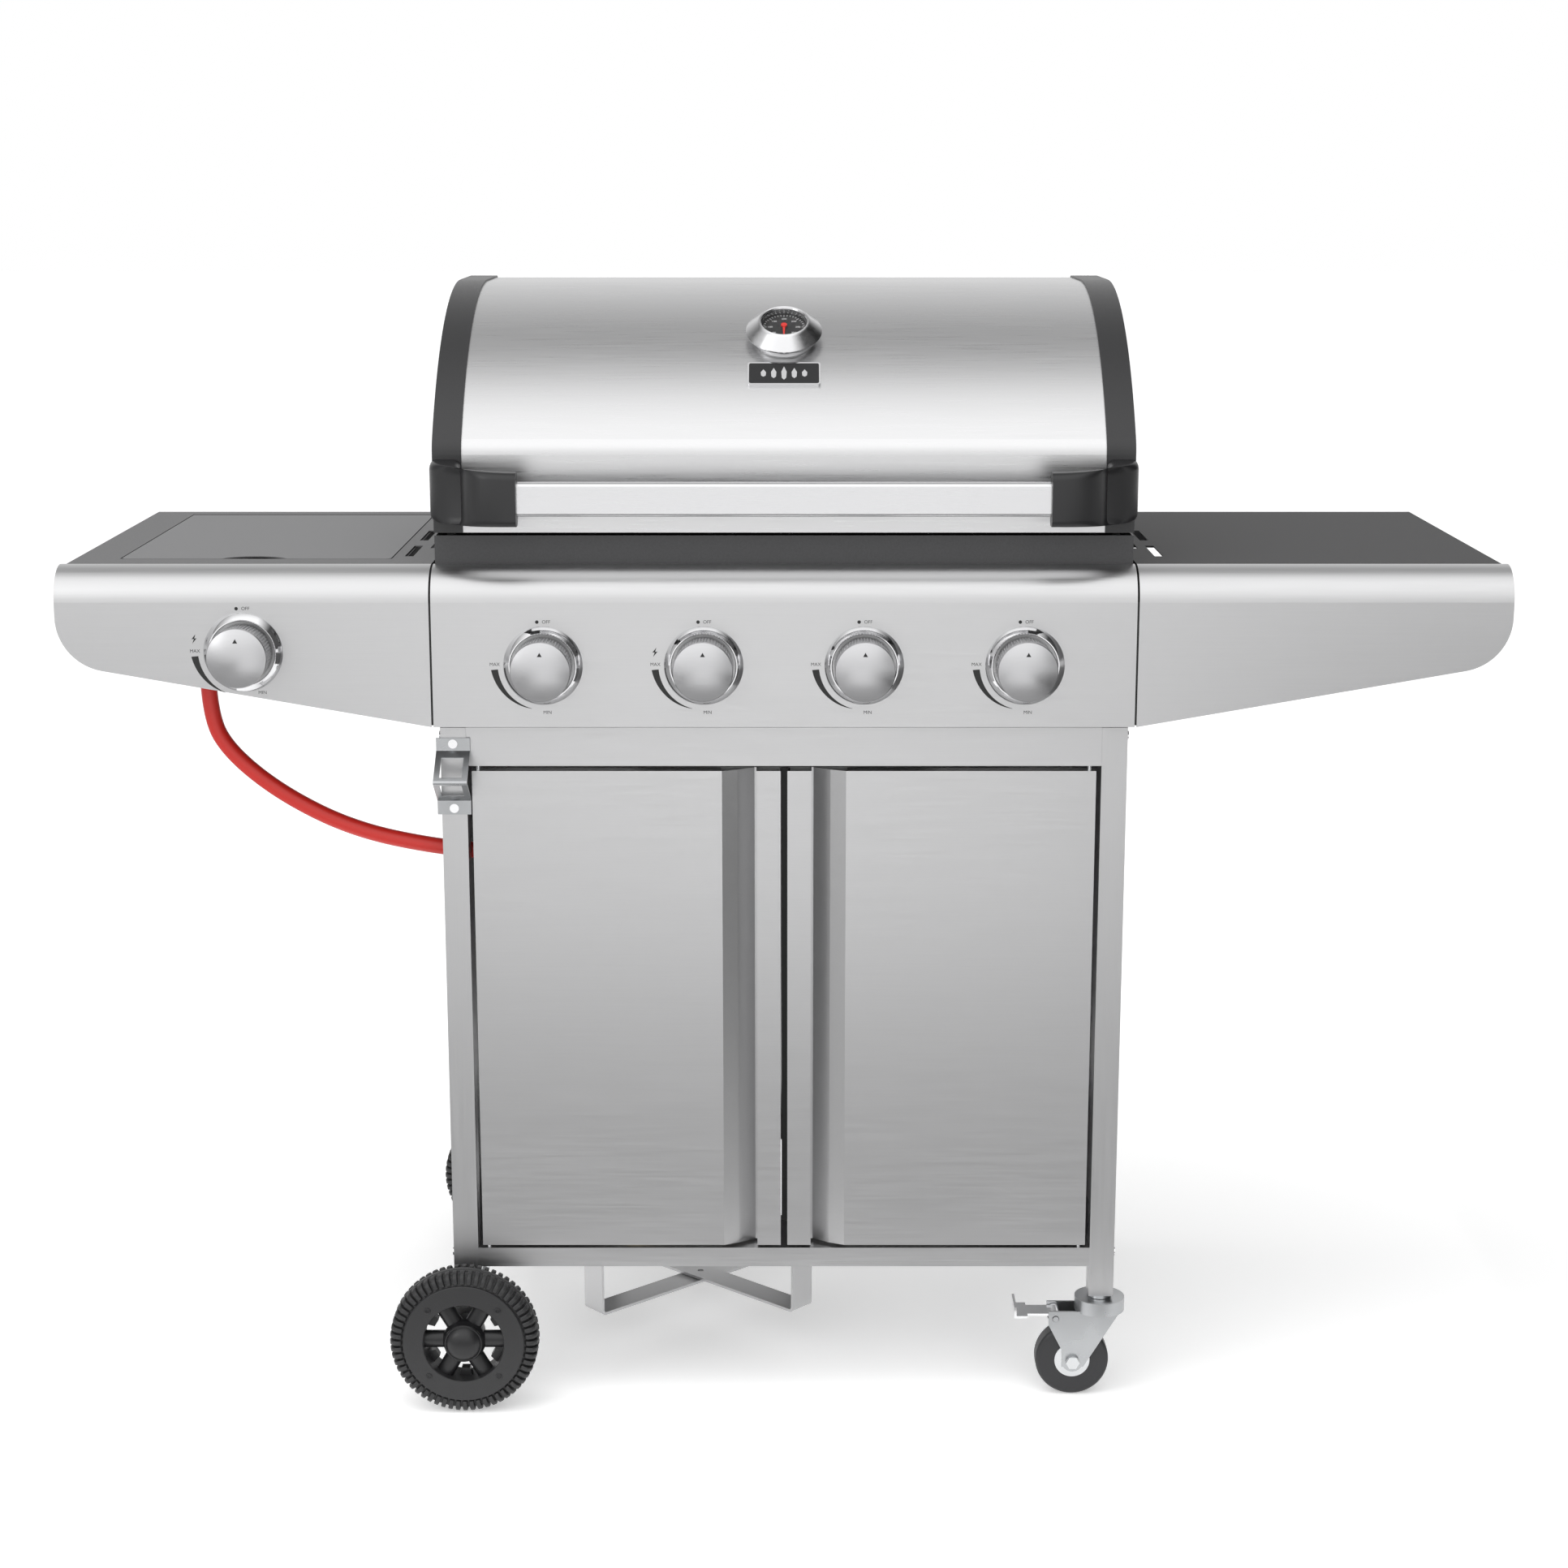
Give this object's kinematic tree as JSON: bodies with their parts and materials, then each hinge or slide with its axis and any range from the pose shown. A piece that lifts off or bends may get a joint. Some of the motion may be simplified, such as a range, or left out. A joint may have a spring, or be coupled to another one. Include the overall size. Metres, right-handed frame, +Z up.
{
  "type": "gas barbecue grill",
  "caption": "Gas grill with hinged hood, control knobs, side burner under a lid, two side shelves and a doored cart on wheels and braked castors.",
  "frame": {"origin": "on the ground under the middle of the outline", "axes": "+X to the right of someone facing the control panel, +Y to the back, +Z up"},
  "size_m": [1.4, 0.5451, 1.12],
  "materials": {
    "stainless": "satin",
    "hood_steel": "satin",
    "chrome": "polished",
    "dark_enamel": "textured",
    "black_cast": "satin",
    "black_plastic": "matte",
    "black_tyre": "matte",
    "caster_rubber": "matte",
    "cast_iron": "matte",
    "galvanised": "satin",
    "knob_metal": "satin",
    "brass": "satin",
    "red_hose": "satin",
    "dial_glass": "gloss",
    "needle_red": "gloss",
    "badge": "gloss"
  },
  "bodies": {
    "cart": {"front_legs": "stainless", "rear_legs": "stainless", "cart_rails": "stainless", "bottom_shelf": "stainless", "side_panels": "stainless", "back_panel": "stainless", "bottle_straps": "stainless", "bottle_opener": "chrome", "cart_screws": "chrome", "wheel_axle": "galvanised", "caster_stems": "chrome", "firebox": "dark_enamel", "hood_hinge_pins": "galvanised", "door_hinge_pins": "galvanised", "burner_tubes": "galvanised", "flame_tamers": "stainless", "cooking_grates": "cast_iron", "warming_rack": "chrome", "gas_manifold": "galvanised", "gas_valves": "brass", "control_panel": "stainless", "knob_bezels": "chrome", "side_burner": "dark_enamel", "pot_support": "cast_iron", "shelf_top_left": "dark_enamel", "shelf_front_left": "stainless", "shelf_top_right": "dark_enamel", "shelf_front_right": "stainless", "gas_hose": "red_hose", "gas_regulator": "brass"},
    "hood": {"hood_shell": "hood_steel", "hood_end_caps": "black_cast", "handle_bar": "stainless", "handle_brackets": "black_plastic", "thermometer_case": "chrome", "thermometer_lens": "dial_glass", "hood_badge": "badge"},
    "dial_needle": {"thermometer_needle": "needle_red"},
    "burner_lid": {"side_burner_lid": "dark_enamel"},
    "tray": {"grease_tray": "galvanised"},
    "left_door": {"door_left": "stainless"},
    "right_door": {"door_right": "stainless"},
    "front_wheel": {"wheel_front": "black_tyre"},
    "rear_wheel": {"wheel_rear": "black_tyre"},
    "fork_front": {"caster_fork_front": "chrome"},
    "roller_front": {"caster_wheel_front": "caster_rubber"},
    "brake_front": {"caster_brake_front": "chrome"},
    "fork_rear": {"caster_fork_rear": "chrome"},
    "roller_rear": {"caster_wheel_rear": "caster_rubber"},
    "brake_rear": {"caster_brake_rear": "chrome"},
    "stem_1": {"valve_stem_1": "brass"},
    "dial_1": {"knob_1": "knob_metal"},
    "stem_2": {"valve_stem_2": "brass"},
    "dial_2": {"knob_2": "knob_metal"},
    "stem_3": {"valve_stem_3": "brass"},
    "dial_3": {"knob_3": "knob_metal"},
    "stem_4": {"valve_stem_4": "brass"},
    "dial_4": {"knob_4": "knob_metal"},
    "stem_side": {"valve_stem_side": "brass"},
    "dial_side": {"knob_side": "knob_metal"}
  },
  "joints": [
    {"name": "hood_hinge", "type": "hinge", "parent": "cart", "child": "hood", "pos_m": [0, 0.2115, 0.897], "axis": [-1, 0, 0], "range_deg": [0, 85]},
    {"name": "needle_turn", "type": "hinge", "parent": "hood", "child": "dial_needle", "pos_m": [0, -0.10883, 1.08206], "axis": [0, -0.5195, 0.8545], "range_deg": [-130, 130]},
    {"name": "burner_lid_hinge", "type": "hinge", "parent": "cart", "child": "burner_lid", "pos_m": [-0.51725, 0.1872, 0.855], "axis": [-1, 0, 0], "range_deg": [0, 90]},
    {"name": "grease_tray_slide", "type": "slide", "parent": "cart", "child": "tray", "axis": [0, 1, 0], "range_m": [0, 0.28]},
    {"name": "left_door_hinge", "type": "hinge", "parent": "cart", "child": "left_door", "pos_m": [-0.3, -0.1995, 0.41], "axis": [0, 0, -1], "range_deg": [0, 88]},
    {"name": "right_door_hinge", "type": "hinge", "parent": "cart", "child": "right_door", "pos_m": [0.3, -0.1995, 0.41], "axis": [0, 0, 1], "range_deg": [0, 110]},
    {"name": "front_wheel_spin", "type": "hinge", "parent": "cart", "child": "front_wheel", "pos_m": [-0.3235, -0.2305, 0.075], "axis": [0, 1, 0], "continuous": true},
    {"name": "rear_wheel_spin", "type": "hinge", "parent": "cart", "child": "rear_wheel", "pos_m": [-0.3235, 0.2475, 0.075], "axis": [0, 1, 0], "continuous": true},
    {"name": "caster_swivel_front", "type": "hinge", "parent": "cart", "child": "fork_front", "pos_m": [0.3235, -0.193, 0.097], "axis": [0, 0, 1], "continuous": true},
    {"name": "caster_roll_front", "type": "hinge", "parent": "fork_front", "child": "roller_front", "pos_m": [0.2958, -0.193, 0.0375], "axis": [0, 1, 0], "continuous": true},
    {"name": "caster_brake_front", "type": "hinge", "parent": "fork_front", "child": "brake_front", "pos_m": [0.2778, -0.193, 0.084], "axis": [0, -1, 0], "range_deg": [0, 10]},
    {"name": "caster_swivel_rear", "type": "hinge", "parent": "cart", "child": "fork_rear", "pos_m": [0.3235, 0.207, 0.097], "axis": [0, 0, 1], "continuous": true},
    {"name": "caster_roll_rear", "type": "hinge", "parent": "fork_rear", "child": "roller_rear", "pos_m": [0.2958, 0.207, 0.0375], "axis": [0, 1, 0], "continuous": true},
    {"name": "caster_brake_rear", "type": "hinge", "parent": "fork_rear", "child": "brake_rear", "pos_m": [0.2778, 0.207, 0.084], "axis": [0, -1, 0], "range_deg": [0, 10]},
    {"name": "knob_turn_1", "type": "hinge", "parent": "cart", "child": "stem_1", "pos_m": [-0.232, -0.2305, 0.766], "axis": [0, -1, 0], "range_deg": [0, 200]},
    {"name": "knob_push_1", "type": "slide", "parent": "stem_1", "child": "dial_1", "axis": [0, 1, 0], "range_m": [0, 0.005], "stiffness_N_per_m": 800},
    {"name": "knob_turn_2", "type": "hinge", "parent": "cart", "child": "stem_2", "pos_m": [-0.0773, -0.2305, 0.766], "axis": [0, -1, 0], "range_deg": [0, 200]},
    {"name": "knob_push_2", "type": "slide", "parent": "stem_2", "child": "dial_2", "axis": [0, 1, 0], "range_m": [0, 0.005], "stiffness_N_per_m": 800},
    {"name": "knob_turn_3", "type": "hinge", "parent": "cart", "child": "stem_3", "pos_m": [0.0773, -0.2305, 0.766], "axis": [0, -1, 0], "range_deg": [0, 200]},
    {"name": "knob_push_3", "type": "slide", "parent": "stem_3", "child": "dial_3", "axis": [0, 1, 0], "range_m": [0, 0.005], "stiffness_N_per_m": 800},
    {"name": "knob_turn_4", "type": "hinge", "parent": "cart", "child": "stem_4", "pos_m": [0.232, -0.2305, 0.766], "axis": [0, -1, 0], "range_deg": [0, 200]},
    {"name": "knob_push_4", "type": "slide", "parent": "stem_4", "child": "dial_4", "axis": [0, 1, 0], "range_m": [0, 0.005], "stiffness_N_per_m": 800},
    {"name": "knob_turn_side", "type": "hinge", "parent": "cart", "child": "stem_side", "pos_m": [-0.52, -0.2305, 0.779], "axis": [0, -1, 0], "range_deg": [0, 200]},
    {"name": "knob_push_side", "type": "slide", "parent": "stem_side", "child": "dial_side", "axis": [0, 1, 0], "range_m": [0, 0.005], "stiffness_N_per_m": 800}
  ]
}
